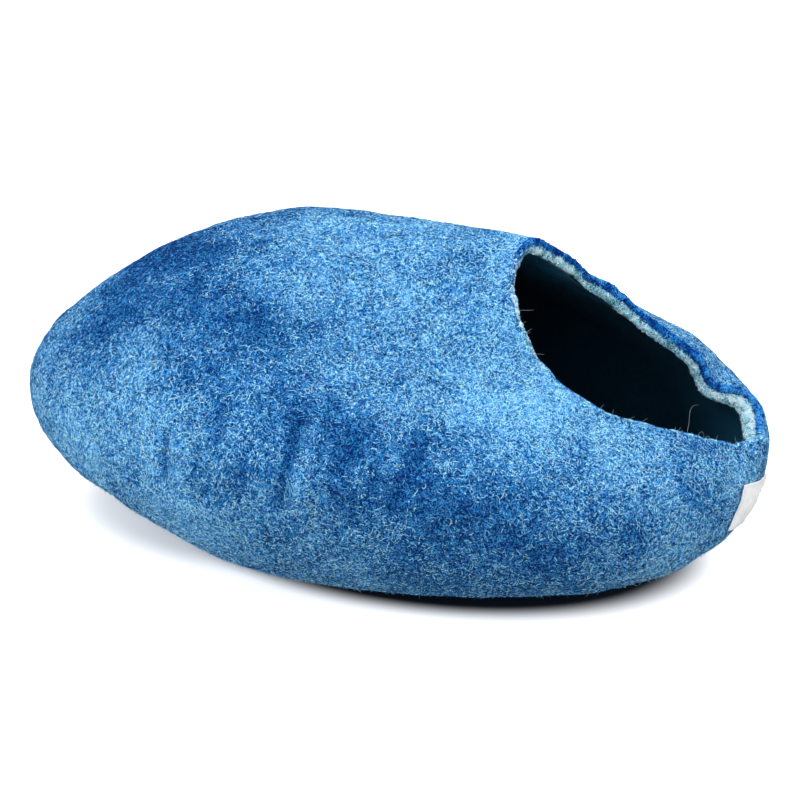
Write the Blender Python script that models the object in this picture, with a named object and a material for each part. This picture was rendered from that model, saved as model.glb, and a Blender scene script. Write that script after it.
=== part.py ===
"""Cave bed for a cat: one seamless slipper of thick felted wool, open on top at the heel,
with a blank woven label sewn on the outside of the heel."""

import math

import bpy
import numpy as np
from mathutils import Vector
from mathutils.bvhtree import BVHTree

MM = 0.001

# Driving sizes in metres: the slipper points along X, toe at -X, heel and opening at +X
HALF_LENGTH = 0.270
WALL = 0.011
PLAN_ROUNDNESS = 1.99
SIDE_ROUNDNESS = 2.34
BASE_ROUNDNESS = 2.11
FLOOR_ROUNDING = 0.004
HAIR = 0.00002

# One row per evenly spaced section from the toe to the heel, heights above the floor in millimetres
SECTION_COLUMNS = ("half_width", "top", "widest", "base")
SECTIONS = (
    (170, 179, 104, 24),
    (166, 195, 98, 14),
    (177, 194, 115, -9),
    (179, 178, 126, -11),
    (176, 173, 109, -11),
    (189, 173, 93, -13),
    (205, 186, 92, -27),
)

# The opening is a ring around an axis leaning to the heel; its size is an angle from that axis,
# and each order adds a wave with that many crests around the ring
OPENING_LEAN = 0.795
OPENING_ANGLE = 0.416
OPENING_COLUMNS = ("order", "even", "odd")
OPENING_SHAPE = (
    (1, -0.013, -0.036),
    (2, 0.091, 0.004),
    (3, 0.022, 0.010),
)

# Places where the felt beside the opening leans in: turn around the opening, spread, and how far
EDGE_COLUMNS = ("turn", "spread", "lean_in_mm")
EDGE_WAVES = (
    (0.20, 0.20, -0.8),
    (0.82, 0.28, 16.4),
    (1.30, 0.16, 1.4),
    (2.36, 0.12, 3.4),
    (2.85, 0.14, -3.4),
    (3.62, 0.14, -3.8),
    (6.06, 0.15, -6.1),
)
EDGE_REACH = 0.07

# The instep rises over the closed form up to the throat of the opening
INSTEP_LIFT = 0.0596
INSTEP_TURN = 2.92
INSTEP_SPREAD = 0.784
INSTEP_REACH = 0.349

# Shallow troughs in the near side: both ends seen from the side, half width and depth, millimetres
CREASE_COLUMNS = ("top_x", "top_z", "foot_x", "foot_z", "half_width", "depth")
CREASES = (
    (-124, 141, -124, 111, 7.0, 3.0),
    (-86, 166, -83, 152, 7.0, 1.8),
    (-30, 164, -37, 118, 6.5, 3.6),
    (8, 156, 0, 143, 6.5, 2.6),
    (29, 142, 25, 127, 6.0, 1.8),
    (51, 154, 46, 133, 6.5, 2.4),
)

# The cut edge across the wall, outer skin to inner skin: two rolled plies with a groove between
EDGE_PROFILE_COLUMNS = ("across", "out_mm")
EDGE_PROFILE = (
    (0.08, 1.9),
    (0.26, 3.0),
    (0.42, 2.3),
    (0.50, 1.2),
    (0.58, 2.2),
    (0.75, 2.8),
    (0.93, 1.7),
)

# Mesh steps: meridians around, and rings from the rim to the toe in three bands of the reach
MERIDIANS = 72
MERIDIAN_CROWDING = 0.28
CROWDED_TURN = 4.5
OUTER_BANDS = ((0.0, 0.24, 8), (0.24, 0.57, 20), (0.57, 1.0, 13))
INNER_RINGS = 17
STEP = 0.0004
EDGE_STEP = 0.01

# The label on the outside of the heel, turned so that its far end hangs lower
LABEL_WIDTH = 0.056
LABEL_HEIGHT = 0.032
LABEL_THICK = 0.0010
LABEL_GAP = 0.0007
LABEL_CENTRE_Y = -0.039
LABEL_CENTRE_Z = 0.079
LABEL_TURN = math.radians(20)
LABEL_COLUMNS = 12
LABEL_ROWS = 8


def clear_scene():
    for thing in list(bpy.data.objects):
        bpy.data.objects.remove(thing, do_unlink=True)


def rows(table, columns):
    """Rows of a table as records whose values are read by the name of their column."""
    return [dict(zip(columns, row)) for row in table]


def between_sections(name, along):
    """Value of a section column at a place along the bed, -1 at the toe and 1 at the heel."""
    values = np.array([row[name] for row in rows(SECTIONS, SECTION_COLUMNS)]) * MM
    slopes = np.gradient(values)
    last = len(values) - 1
    place = (np.clip(along, -1, 1) + 1) / 2 * last
    row = np.clip(np.floor(place).astype(int), 0, last - 1)
    s = place - row
    return (
        (2 * s**3 - 3 * s**2 + 1) * values[row]
        + (s**3 - 2 * s**2 + s) * slopes[row]
        + (3 * s**2 - 2 * s**3) * values[row + 1]
        + (s**3 - s**2) * slopes[row + 1]
    )


def settle_on_floor(height):
    """Heights under the floor become exactly zero, with a small rounding above it."""
    rounded = (height + FLOOR_ROUNDING) ** 2 / (4 * FLOOR_ROUNDING)
    return np.where(height > FLOOR_ROUNDING, height, np.where(height < -FLOOR_ROUNDING, 0, rounded))


def slipper_point(direction):
    """Point of the closed slipper in a direction from its middle."""
    x, y, z = np.moveaxis(np.abs(direction), -1, 0)
    side = np.where(direction[..., 2] < 0, BASE_ROUNDNESS, SIDE_ROUNDNESS)
    plan = (x**PLAN_ROUNDNESS + y**PLAN_ROUNDNESS) ** (side / PLAN_ROUNDNESS)
    scale = (plan + z**side) ** (1 / side)
    along, aside, up = np.moveaxis(direction / scale[..., None], -1, 0)
    widest = between_sections("widest", along)
    top = between_sections("top", along)
    base = between_sections("base", along)
    height = widest + np.where(up > 0, (top - widest) * up, (widest - base) * up)
    half_width = between_sections("half_width", along)
    return np.stack([HALF_LENGTH * along, half_width * aside, settle_on_floor(height)], axis=-1)


def gathered(turn, centre, spread):
    """Soft bump around one turn, the same across the full circle."""
    gap = np.angle(np.exp(1j * (turn - centre)))
    return np.exp(-((gap / spread) ** 2))


def opening_angle(turn):
    """Angle of the cut edge from the opening's axis; turn 0 faces the heel."""
    angle = OPENING_ANGLE + 0 * turn
    for wave in rows(OPENING_SHAPE, OPENING_COLUMNS):
        around = wave["order"] * turn
        angle = angle + wave["even"] * np.cos(around) + wave["odd"] * np.sin(around)
    return angle


def closed_skin(turn, reach):
    """Skin of the closed form: reach 0 is the cut edge and reach 1 the far pole under the toe."""
    edge = opening_angle(turn)
    tilt = edge + (math.pi - edge) * reach
    axis = np.array([math.sin(OPENING_LEAN), 0, math.cos(OPENING_LEAN)])
    heelward = np.array([math.cos(OPENING_LEAN), 0, -math.sin(OPENING_LEAN)])
    sideward = np.array([0, 1, 0])
    across = np.cos(turn)[..., None] * heelward + np.sin(turn)[..., None] * sideward
    return slipper_point(np.cos(tilt)[..., None] * axis + np.sin(tilt)[..., None] * across)


def unit(vectors):
    return vectors / np.linalg.norm(vectors, axis=-1, keepdims=True)


def outward(surface, turn, reach):
    """Unit vectors out of a surface given by turn and reach."""
    reach = np.clip(reach, STEP, 1 - 12 * STEP)
    round_step = surface(turn + STEP, reach) - surface(turn - STEP, reach)
    down_step = surface(turn, reach + STEP) - surface(turn, reach - STEP)
    return unit(np.cross(down_step, round_step))


def skin(turn, reach):
    """Outer skin with the instep raised towards the throat and the edge leaning in and out."""
    fade = np.exp(-((reach / INSTEP_REACH) ** 2))
    lift = INSTEP_LIFT * fade * gathered(turn, INSTEP_TURN, INSTEP_SPREAD)
    edge_fade = np.exp(-((reach / EDGE_REACH) ** 2))
    for wave in rows(EDGE_WAVES, EDGE_COLUMNS):
        lean_in = wave["lean_in_mm"] * MM * gathered(turn, wave["turn"], wave["spread"])
        lift = lift - lean_in * edge_fade
    return closed_skin(turn, reach) + outward(closed_skin, turn, reach) * lift[..., None]


def crease_depth(points):
    """Depth of the troughs at points of the near side."""
    depth = np.zeros(points.shape[:-1])
    for crease in rows(CREASES, CREASE_COLUMNS):
        top = np.array([crease["top_x"], crease["top_z"]]) * MM
        run = np.array([crease["foot_x"], crease["foot_z"]]) * MM - top
        offset = points[..., [0, 2]] - top
        share = np.clip((offset @ run) / (run @ run), 0, 1)
        gap = np.linalg.norm(offset - share[..., None] * run, axis=-1)
        depth = depth + crease["depth"] * MM * np.exp(-((gap / (crease["half_width"] * MM)) ** 2))
    return np.where(points[..., 1] < 0, depth, 0)


def meridian_turns():
    """Turns around the opening, closer together on the creased near side."""
    even = np.arange(MERIDIANS) * 2 * math.pi / MERIDIANS
    return even - MERIDIAN_CROWDING * np.sin(even - CROWDED_TURN)


def outer_reaches():
    bands = [np.linspace(start, end, steps + 1)[:-1] for start, end, steps in OUTER_BANDS]
    return np.concatenate(bands)


def rings(turns, reaches):
    """Grid of turns and reaches, one row per ring."""
    reach_grid, turn_grid = np.meshgrid(reaches, turns, indexing="ij")
    return turn_grid, reach_grid


def outer_rings(turns):
    turn, reach = rings(turns, outer_reaches())
    points = skin(turn, reach)
    points = points - outward(skin, turn, reach) * crease_depth(points)[..., None]
    points[..., 2] = np.where(points[..., 2] < HAIR, 0, points[..., 2])
    return points


def inner_rings(turns):
    """Inner skin from under the toe back up to the cut edge."""
    reaches = np.linspace(1, 0, INNER_RINGS + 1)[1:]
    turn, reach = rings(turns, reaches)
    return skin(turn, reach) - outward(skin, turn, reach) * WALL


def edge_rings(turns):
    """Rolled cut edge from the inner skin to the outer skin."""
    start = 0 * turns
    foot = skin(turns, start)
    normal = outward(skin, turns, start)
    out = unit(foot - skin(turns, start + EDGE_STEP))
    return [
        foot - normal * WALL * place["across"] + out * place["out_mm"] * MM
        for place in reversed(rows(EDGE_PROFILE, EDGE_PROFILE_COLUMNS))
    ]


def pole_points():
    """Outer and inner point where the rings close under the toe."""
    turns = meridian_turns()
    pole = skin(turns, 1 + 0 * turns).mean(axis=0)
    normal = unit(outward(skin, turns, 1 + 0 * turns).mean(axis=0))
    return pole, pole - normal * WALL


def shell_faces(ring_count):
    """Quads between neighbouring rings and a fan at each pole."""
    faces = []
    first_pole = ring_count * MERIDIANS
    last_pole = first_pole + 1
    for near in range(MERIDIANS):
        far = (near + 1) % MERIDIANS
        for ring in range(ring_count - 1):
            low = ring * MERIDIANS
            high = low + MERIDIANS
            faces.append((low + near, high + near, high + far, low + far))
        last = (ring_count - 1) * MERIDIANS
        faces.append((first_pole, near, far))
        faces.append((last + near, last_pole, last + far))
    return faces


def make_object(name, points, faces, material):
    mesh = bpy.data.meshes.new(name)
    mesh.from_pydata([tuple(point) for point in points], [], faces)
    mesh.validate()
    mesh.materials.append(material)
    mesh.shade_smooth()
    thing = bpy.data.objects.new(name, mesh)
    bpy.context.scene.collection.objects.link(thing)
    return thing


def felt_slipper(material):
    """The whole felted slipper as one closed wall."""
    turns = meridian_turns()
    grid = list(inner_rings(turns)) + edge_rings(turns) + list(outer_rings(turns))
    outer_pole, inner_pole = pole_points()
    points = np.concatenate(grid + [inner_pole[None], outer_pole[None]])
    return make_object("felt_slipper", points, shell_faces(len(grid)), material)


def heel_surface(slipper):
    """Finds the outside of the heel from behind, at a place across and a height."""
    mesh = slipper.data
    tree = BVHTree.FromPolygons([v.co for v in mesh.vertices], [p.vertices for p in mesh.polygons])

    def find(aside, height):
        hit, normal, _, _ = tree.ray_cast(Vector((1.0, aside, height)), Vector((-1.0, 0.0, 0.0)))
        return np.array(hit), np.array(normal)

    return find


def woven_label(material, find):
    """Flat tape laid on the heel, just clear of the felt, as a thin closed sheet."""
    inside = []
    outside = []
    for up in np.linspace(-0.5, 0.5, LABEL_ROWS + 1) * LABEL_HEIGHT:
        for along in np.linspace(-0.5, 0.5, LABEL_COLUMNS + 1) * LABEL_WIDTH:
            aside = LABEL_CENTRE_Y + along * math.cos(LABEL_TURN) + up * math.sin(LABEL_TURN)
            height = LABEL_CENTRE_Z - along * math.sin(LABEL_TURN) + up * math.cos(LABEL_TURN)
            point, normal = find(aside, height)
            inside.append(point + normal * LABEL_GAP)
            outside.append(point + normal * (LABEL_GAP + LABEL_THICK))
    across = LABEL_COLUMNS + 1
    count = across * (LABEL_ROWS + 1)
    faces = []
    for row in range(LABEL_ROWS):
        for step in range(LABEL_COLUMNS):
            a = row * across + step
            quad = (a, a + 1, a + 1 + across, a + across)
            faces.append(tuple(count + corner for corner in quad))
            faces.append(tuple(reversed(quad)))
    border = list(range(across))
    border += [row * across + LABEL_COLUMNS for row in range(1, LABEL_ROWS + 1)]
    border += [LABEL_ROWS * across + step for step in range(LABEL_COLUMNS - 1, -1, -1)]
    border += [row * across for row in range(LABEL_ROWS - 1, 0, -1)]
    for here, there in zip(border, border[1:] + border[:1]):
        faces.append((here, there, count + there, count + here))
    return make_object("woven_label", inside + outside, faces, material)


def plain_material(name, colour, roughness):
    material = bpy.data.materials.new(name)
    material.use_nodes = True
    shader = material.node_tree.nodes["Principled BSDF"]
    shader.inputs["Base Color"].default_value = (*colour, 1.0)
    shader.inputs["Roughness"].default_value = roughness
    return material


def build():
    clear_scene()
    felt = plain_material("blue_wool_felt", (0.055, 0.20, 0.50), 0.95)
    tape = plain_material("white_woven_tape", (0.85, 0.85, 0.82), 0.80)
    slipper = felt_slipper(felt)
    woven_label(tape, heel_surface(slipper))


build()
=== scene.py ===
"""Dresses the felted cave bed: mottled blue wool outside, pale aqua wool inside, the rolled cut
edge between them, fine fibres and fuzz all over, and the small woven label on the heel."""

import math

import bpy
import numpy as np
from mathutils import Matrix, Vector
from mathutils.bvhtree import BVHTree


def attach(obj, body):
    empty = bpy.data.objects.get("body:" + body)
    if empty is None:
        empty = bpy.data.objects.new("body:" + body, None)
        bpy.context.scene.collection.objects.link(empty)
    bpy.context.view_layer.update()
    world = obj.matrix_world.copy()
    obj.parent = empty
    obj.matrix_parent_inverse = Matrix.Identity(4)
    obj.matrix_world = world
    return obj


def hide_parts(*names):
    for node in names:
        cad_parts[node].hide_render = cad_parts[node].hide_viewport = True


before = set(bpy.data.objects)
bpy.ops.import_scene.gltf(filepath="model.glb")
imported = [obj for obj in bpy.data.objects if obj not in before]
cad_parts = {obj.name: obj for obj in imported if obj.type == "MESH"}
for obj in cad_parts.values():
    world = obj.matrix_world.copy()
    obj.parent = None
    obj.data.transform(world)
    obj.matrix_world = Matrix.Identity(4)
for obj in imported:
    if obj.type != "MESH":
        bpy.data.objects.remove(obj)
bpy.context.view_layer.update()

MM = 0.001

# Form of the wall, the same sizes as in the solid's own source, so that the fine wall lies on it
HALF_LENGTH = 0.270
WALL = 0.011
PLAN_ROUNDNESS = 1.99
SIDE_ROUNDNESS = 2.34
BASE_ROUNDNESS = 2.11
FLOOR_ROUNDING = 0.004
SECTION_COLUMNS = ("half_width", "top", "widest", "base")
SECTIONS = (
    (170, 179, 104, 24),
    (166, 195, 98, 14),
    (177, 194, 115, -9),
    (179, 178, 126, -11),
    (176, 173, 109, -11),
    (189, 173, 93, -13),
    (205, 186, 92, -27),
)
OPENING_LEAN = 0.795
OPENING_ANGLE = 0.416
OPENING_COLUMNS = ("order", "even", "odd")
OPENING_SHAPE = (
    (1, -0.013, -0.036),
    (2, 0.091, 0.004),
    (3, 0.022, 0.010),
)
EDGE_COLUMNS = ("turn", "spread", "lean_in_mm")
EDGE_WAVES = (
    (0.20, 0.20, -0.8),
    (0.82, 0.28, 16.4),
    (1.30, 0.16, 1.4),
    (2.36, 0.12, 3.4),
    (2.85, 0.14, -3.4),
    (3.62, 0.14, -3.8),
    (6.06, 0.15, -6.1),
)
EDGE_REACH = 0.07
INSTEP_LIFT = 0.0596
INSTEP_TURN = 2.92
INSTEP_SPREAD = 0.784
INSTEP_REACH = 0.349
STEP = 0.0004
EDGE_STEP = 0.01

# Troughs and ridges of the near side: both ends seen from the side, half width, depth, millimetres;
# a negative depth is a ridge beside its trough
CREASE_COLUMNS = ("top_x", "top_z", "foot_x", "foot_z", "half_width", "depth")
CREASES = (
    (-124, 141, -124, 111, 5.0, 4.0),
    (-114, 138, -115, 114, 6.0, -1.2),
    (-86, 166, -83, 152, 7.0, 1.8),
    (-30, 164, -37, 118, 5.0, 4.6),
    (-19, 162, -26, 120, 6.0, -1.4),
    (8, 156, 0, 143, 5.0, 3.4),
    (29, 142, 25, 127, 5.0, 2.4),
    (51, 154, 46, 133, 5.5, 3.2),
    (-2, 136, 6, 120, 5.0, 1.6),
    (40, 140, 37, 115, 4.5, 1.8),
    (62, 142, 58, 120, 5.0, 1.7),
    (14, 132, 12, 112, 4.5, 1.5),
    (-62, 150, -66, 122, 7.0, 1.4),
    (-98, 142, -100, 118, 7.0, 1.2),
)

# The cut edge across the wall, outer skin to inner skin: two rolled plies with a groove between.
# The wool changes to pale aqua in the groove, and nearer the outer skin on the near side and at the
# throat. On the far side the groove is painted darker, as shade. The last four values are how soft
# that change, the painted shade in the groove and the deep blue rim are.
PROFILE_COLUMNS = ("across", "out_mm")
EDGE_PROFILE = (
    (0.0, 0.0),
    (0.08, 1.9),
    (0.26, 3.0),
    (0.42, 2.3),
    (0.50, 1.0),
    (0.58, 2.2),
    (0.75, 2.8),
    (0.93, 1.7),
    (1.0, 0.0),
)
GROOVE = 0.50
AQUA_NEAR = 0.16
AQUA_THROAT = 0.34
THROAT_TURN = 3.40
THROAT_SPREAD = 0.45
CHANGE_BEFORE = 0.03
CHANGE_AFTER = 0.05
GROOVE_SPREAD = 0.055
RIM_REACH = 0.006

# Ranges in metres over which the far side begins, across the bed, and the throat, along it, and how
# far past the middle the throat goes
FAR_SIDE_Y = (-0.045, -0.005)
THROAT_X = (0.130, 0.100)
THROAT_PAST_MIDDLE = 0.02

# The pale wool goes on into the cave inside the heel, before the painted shade of the cave begins,
# and is thicker there: how far, how much thicker, around which turn and how wide
HEEL_PALE = 0.032
HEEL_ROLL = 0.005
HEEL_TURN = 0.30
HEEL_SPREAD = 0.50

# Steps of the fine wall, and how much closer its rings lie near the edge
MERIDIANS = 320
OUTER_RINGS = 134
EDGE_RINGS = 24
INNER_RINGS = 44
OUTER_GATHER = 1.12
INNER_GATHER = 1.2

# The curve of the rolled edge: points of its table, how many of them its smoothing covers, and how
# steeply it leaves the two skins, and the range across the wall over which the inner ply begins
PROFILE_POINTS = 201
PROFILE_SMOOTHING = 15
PROFILE_START = 2.2
INNER_PLY = (0.45, 1.0)

# Heights over which the wall goes over from its flat underside to lumpy wool, and over which
# fibres begin to stand on it
LUMPS_BEGIN = (0.001, 0.012)
FIBRES_BEGIN = (0.004, 0.030)

# Uneven wool in layers: how far apart the lumps are, in millimetres, and how strong they are. The
# lumps and the roughness of the cut edge are heights in millimetres, the plies vary by a share of
# their height, the groove and the change of colour wander by a share of the wall, and the carding
# makes the wool paler.
LUMPS = ((48, 0.55), (19, 0.30), (8, 0.16))
INNER_PLY_ROUGH = ((6.2, 0.55),)
EDGE_ROUGH = ((11, 0.30),)
PLY_UNEVEN = ((22, 0.13),)
GROOVE_WANDER = ((30, 0.06), (9, 0.03))
COLOUR_WANDER = ((12, 0.05), (4, 0.04))
CARDING = ((85, 0.30), (34, 0.22), (13, 0.20))
TUFT_CLUMPS = ((8, 0.45),)
LABEL_WAVES = ((18, 0.25), (7, 0.12))

# Places where the blue is paler or deeper, partly the wool's own uneven tone and partly painted light
# and shade where the light falls more or less: x and z seen from the near side, reach of the patch,
# all in millimetres, and how much paler; past FAR_Y they fade to a share of that
FAR_Y = 0.04
FAR_PATCH = 0.4
PATCH_COLUMNS = ("x", "z", "radius", "paler")
TONE_AND_LIGHT_PATCHES = (
    (-182, 186, 42, -1.00),
    (-141, 191, 36, -0.55),
    (-99, 198, 36, -0.65),
    (-178, 152, 32, 0.80),
    (-196, 174, 26, -0.50),
    (-145, 160, 26, 0.85),
    (-209, 105, 34, 0.80),
    (-226, 140, 30, -0.30),
    (-163, 103, 40, 0.25),
    (-122, 146, 32, 0.05),
    (-99, 72, 40, 0.80),
    (-54, 228, 40, 0.80),
    (-72, 204, 30, -0.50),
    (38, 232, 40, 0.50),
    (45, 203, 24, -0.35),
    (85, 227, 16, 1.40),
    (78, 206, 30, -1.20),
    (108, 180, 16, -0.70),
    (150, 150, 18, -0.50),
    (89, 176, 42, 1.80),
    (132, 150, 34, 0.95),
    (168, 132, 34, 0.80),
    (35, 178, 32, 0.40),
    (-30, 176, 30, -0.65),
    (35, 152, 28, -1.00),
    (62, 150, 20, -0.60),
    (2, 138, 30, -0.60),
    (106, 138, 36, -1.10),
    (145, 104, 40, -1.20),
    (90, 92, 50, -0.60),
    (173, 66, 40, 0.10),
    (222, 76, 26, 0.70),
    (216, 112, 24, -0.35),
    (197, 48, 28, 0.60),
)

# Painted shade in the troughs: how much less pale the wool is for each millimetre of depth in a
# trough, and along its bottom, whose width is a share of the trough's
TROUGH_PAINTED_SHADE = 0.16
TROUGH_BOTTOM_SHADE = 0.65
BOTTOM_WIDTH = 0.42

# Cuts between the deep, mid, soft and pale wool on a scale of 0 to 1, how far a pale place pushes
# a fibre along it and at most how pale it counts, and the share of mid and soft fibres that are
# violet and that are teal
SHADE_CUTS = (0.36, 0.51, 0.72)
PALE_PUSH = 0.28
PALE_MOST = 1.3
ODD_SHARE = 0.10

# Wool shades, linear colours
# Base of the felt between the fibres: the wool's deepest blue, made darker still as painted shade between
# them
GAP_SHADE_BLUE = (0.001, 0.016, 0.100)
DEEP_BLUE = (0.001, 0.030, 0.170)
MID_BLUE = (0.022, 0.200, 0.570)
SOFT_BLUE = (0.085, 0.430, 0.880)
PALE_BLUE = (0.430, 0.850, 1.000)
VIOLET_BLUE = (0.090, 0.190, 0.640)
TEAL_BLUE = (0.015, 0.270, 0.480)
RIM_DEEP = (0.001, 0.030, 0.220)
RIM_BRIGHT = (0.010, 0.190, 0.640)
# Painted shade in the groove between the two plies of the cut edge
GROOVE_SHADE_BLUE = (0.001, 0.012, 0.080)
PALE_AQUA = (0.260, 0.620, 0.780)
WHITE_AQUA = (0.780, 0.950, 0.990)
SHADE_TEAL = (0.040, 0.180, 0.250)
# Painted shade of the cave: the pale aqua dims to the first just inside the edge and to the second deeper in
CAVE_MOUTH_SHADE = (0.020, 0.170, 0.320)
CAVE_DEEP_SHADE = (0.002, 0.016, 0.030)
STRAY_WOOL = (0.300, 0.330, 0.360)
TAPE_WHITE = (0.970, 0.975, 0.970)
TAPE_HOLLOW_SHADE = (0.820, 0.830, 0.830)
THREAD_WHITE = (0.800, 0.800, 0.780)

SEED = 20


def rows(table, columns):
    """Rows of a table as records whose values are read by the name of their column."""
    return [dict(zip(columns, row)) for row in table]


def unit(vectors):
    return vectors / np.maximum(np.linalg.norm(vectors, axis=-1, keepdims=True), 1e-12)


# The form of the slipper


def between_sections(name, along):
    """Value of a section column at a place along the bed, -1 at the toe and 1 at the heel."""
    values = np.array([row[name] for row in rows(SECTIONS, SECTION_COLUMNS)]) * MM
    slopes = np.gradient(values)
    last = len(values) - 1
    place = (np.clip(along, -1, 1) + 1) / 2 * last
    row = np.clip(np.floor(place).astype(int), 0, last - 1)
    s = place - row
    return (
        (2 * s**3 - 3 * s**2 + 1) * values[row]
        + (s**3 - 2 * s**2 + s) * slopes[row]
        + (3 * s**2 - 2 * s**3) * values[row + 1]
        + (s**3 - s**2) * slopes[row + 1]
    )


def settle_on_floor(height):
    """Heights under the floor become exactly zero, with a small rounding above it."""
    rounded = (height + FLOOR_ROUNDING) ** 2 / (4 * FLOOR_ROUNDING)
    return np.where(height > FLOOR_ROUNDING, height, np.where(height < -FLOOR_ROUNDING, 0, rounded))


def slipper_point(direction):
    """Point of the closed slipper in a direction from its middle."""
    x, y, z = np.moveaxis(np.abs(direction), -1, 0)
    side = np.where(direction[..., 2] < 0, BASE_ROUNDNESS, SIDE_ROUNDNESS)
    plan = (x**PLAN_ROUNDNESS + y**PLAN_ROUNDNESS) ** (side / PLAN_ROUNDNESS)
    scale = (plan + z**side) ** (1 / side)
    along, aside, up = np.moveaxis(direction / scale[..., None], -1, 0)
    widest = between_sections("widest", along)
    top = between_sections("top", along)
    base = between_sections("base", along)
    height = widest + np.where(up > 0, (top - widest) * up, (widest - base) * up)
    half_width = between_sections("half_width", along)
    return np.stack([HALF_LENGTH * along, half_width * aside, settle_on_floor(height)], axis=-1)


def gathered(turn, centre, spread):
    """Soft bump around one turn, the same across the full circle."""
    gap = np.angle(np.exp(1j * (turn - centre)))
    return np.exp(-((gap / spread) ** 2))


def opening_angle(turn):
    """Angle of the cut edge from the opening's axis; turn 0 faces the heel."""
    angle = OPENING_ANGLE + 0 * turn
    for wave in rows(OPENING_SHAPE, OPENING_COLUMNS):
        around = wave["order"] * turn
        angle = angle + wave["even"] * np.cos(around) + wave["odd"] * np.sin(around)
    return angle


def closed_skin(turn, reach):
    """Skin of the closed form: reach 0 is the cut edge and reach 1 the far pole under the toe."""
    edge = opening_angle(turn)
    tilt = edge + (math.pi - edge) * reach
    axis = np.array([math.sin(OPENING_LEAN), 0, math.cos(OPENING_LEAN)])
    heelward = np.array([math.cos(OPENING_LEAN), 0, -math.sin(OPENING_LEAN)])
    sideward = np.array([0, 1, 0])
    across = np.cos(turn)[..., None] * heelward + np.sin(turn)[..., None] * sideward
    return slipper_point(np.cos(tilt)[..., None] * axis + np.sin(tilt)[..., None] * across)


def outward(surface, turn, reach):
    """Unit vectors out of a surface given by turn and reach."""
    reach = np.clip(reach, STEP, 1 - 12 * STEP)
    round_step = surface(turn + STEP, reach) - surface(turn - STEP, reach)
    down_step = surface(turn, reach + STEP) - surface(turn, reach - STEP)
    return unit(np.cross(down_step, round_step))


def skin(turn, reach):
    """Outer skin with the instep raised towards the throat and the edge leaning in and out."""
    fade = np.exp(-((reach / INSTEP_REACH) ** 2))
    lift = INSTEP_LIFT * fade * gathered(turn, INSTEP_TURN, INSTEP_SPREAD)
    edge_fade = np.exp(-((reach / EDGE_REACH) ** 2))
    for wave in rows(EDGE_WAVES, EDGE_COLUMNS):
        lean_in = wave["lean_in_mm"] * MM * gathered(turn, wave["turn"], wave["spread"])
        lift = lift - lean_in * edge_fade
    return closed_skin(turn, reach) + outward(closed_skin, turn, reach) * lift[..., None]


def crease_depth(points, width=1.0):
    """Depth of the troughs at points of the near side, narrowed to a share of their width."""
    depth = np.zeros(points.shape[:-1])
    for crease in rows(CREASES, CREASE_COLUMNS):
        top = np.array([crease["top_x"], crease["top_z"]]) * MM
        run = np.array([crease["foot_x"], crease["foot_z"]]) * MM - top
        offset = points[..., [0, 2]] - top
        share = np.clip((offset @ run) / (run @ run), 0, 1)
        gap = np.linalg.norm(offset - share[..., None] * run, axis=-1)
        depth = depth + crease["depth"] * MM * np.exp(-((gap / (width * crease["half_width"] * MM)) ** 2))
    return np.where(points[..., 1] < 0, depth, 0)


# Uneven wool


def soft_noise(points, size, seed, waves=14):
    """Smooth uneven field, about -1 to 1, whose lumps are about size metres apart."""
    rng = np.random.default_rng(seed)
    total = np.zeros(points.shape[:-1])
    for _ in range(waves):
        direction = unit(rng.normal(size=3))
        count = 2 * math.pi / size * rng.uniform(0.7, 1.5)
        total += np.sin(points @ direction * count + rng.uniform(0, 2 * math.pi))
    return total / math.sqrt(waves / 2) / 1.5


def uneven(points, layers, seed):
    """Sum of the layers of a table of uneven wool."""
    total = np.zeros(points.shape[:-1])
    for number, (apart, strength) in enumerate(layers):
        total = total + strength * soft_noise(points, apart * MM, seed + number)
    return total


def smooth_step(low, high, value):
    share = np.clip((value - low) / (high - low), 0, 1)
    return share * share * (3 - 2 * share)


def far_side(points):
    """1 on the far side of the opening, where the edge shows its deep blue, 0 on the near side."""
    return smooth_step(*FAR_SIDE_Y, points[..., 1])


def near_side(points):
    return 1 - far_side(points)


def throat_side(points):
    """1 on the near side of the throat, where the pale inner wool is rolled over the edge."""
    return near_side(points - (0, THROAT_PAST_MIDDLE, 0)) * smooth_step(*THROAT_X, points[..., 0])


def near_but_throat(points):
    return near_side(points) * (1 - throat_side(points))


def off_floor(points):
    """0 where the bed rests and 1 where its wool stands clear of the floor."""
    return smooth_step(*FIBRES_BEGIN, points[..., 2])


def paleness(points):
    """How much paler the wool is than its mean: from the patches, partly painted light and shade, from
    uneven carding, and less pale in the troughs as painted shade.
    """
    # Painted shade: the wool is made less pale in the troughs
    pale = uneven(points, CARDING, SEED + 11) - TROUGH_PAINTED_SHADE * crease_depth(points) / MM
    # Patches: partly the wool's own tone, partly painted light and shade
    for patch in rows(TONE_AND_LIGHT_PATCHES, PATCH_COLUMNS):
        centre = np.array([patch["x"], patch["z"]]) * MM
        gap = np.linalg.norm(points[..., [0, 2]] - centre, axis=-1)
        here = patch["paler"] * np.exp(-((gap / (patch["radius"] * MM)) ** 2))
        pale = pale + np.where(points[..., 1] < FAR_Y, here, FAR_PATCH * here)
    return pale


# The fine wall


def edge_curve(across):
    """How far the rolled edge stands out at a place across the wall, smooth through the table."""
    table = rows(EDGE_PROFILE, PROFILE_COLUMNS)
    places = np.array([row["across"] for row in table])
    heights = np.array([row["out_mm"] for row in table]) * MM
    fine = np.linspace(0, 1, PROFILE_POINTS)
    ends = np.sqrt(np.clip(1 - (2 * fine - 1) ** 2, 0, 1))
    weights = np.hanning(PROFILE_SMOOTHING)
    smooth = np.convolve(np.interp(fine, places, heights), weights / weights.sum(), "same")
    return np.interp(across, fine, smooth * np.minimum(1, ends * PROFILE_START))


def heel_roll(turn):
    """How much thicker the inner ply is inside the heel."""
    return HEEL_ROLL * gathered(turn, HEEL_TURN, HEEL_SPREAD)


def ring_turns():
    """Turns of the meridians around the opening."""
    return np.arange(MERIDIANS) * 2 * math.pi / MERIDIANS


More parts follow.
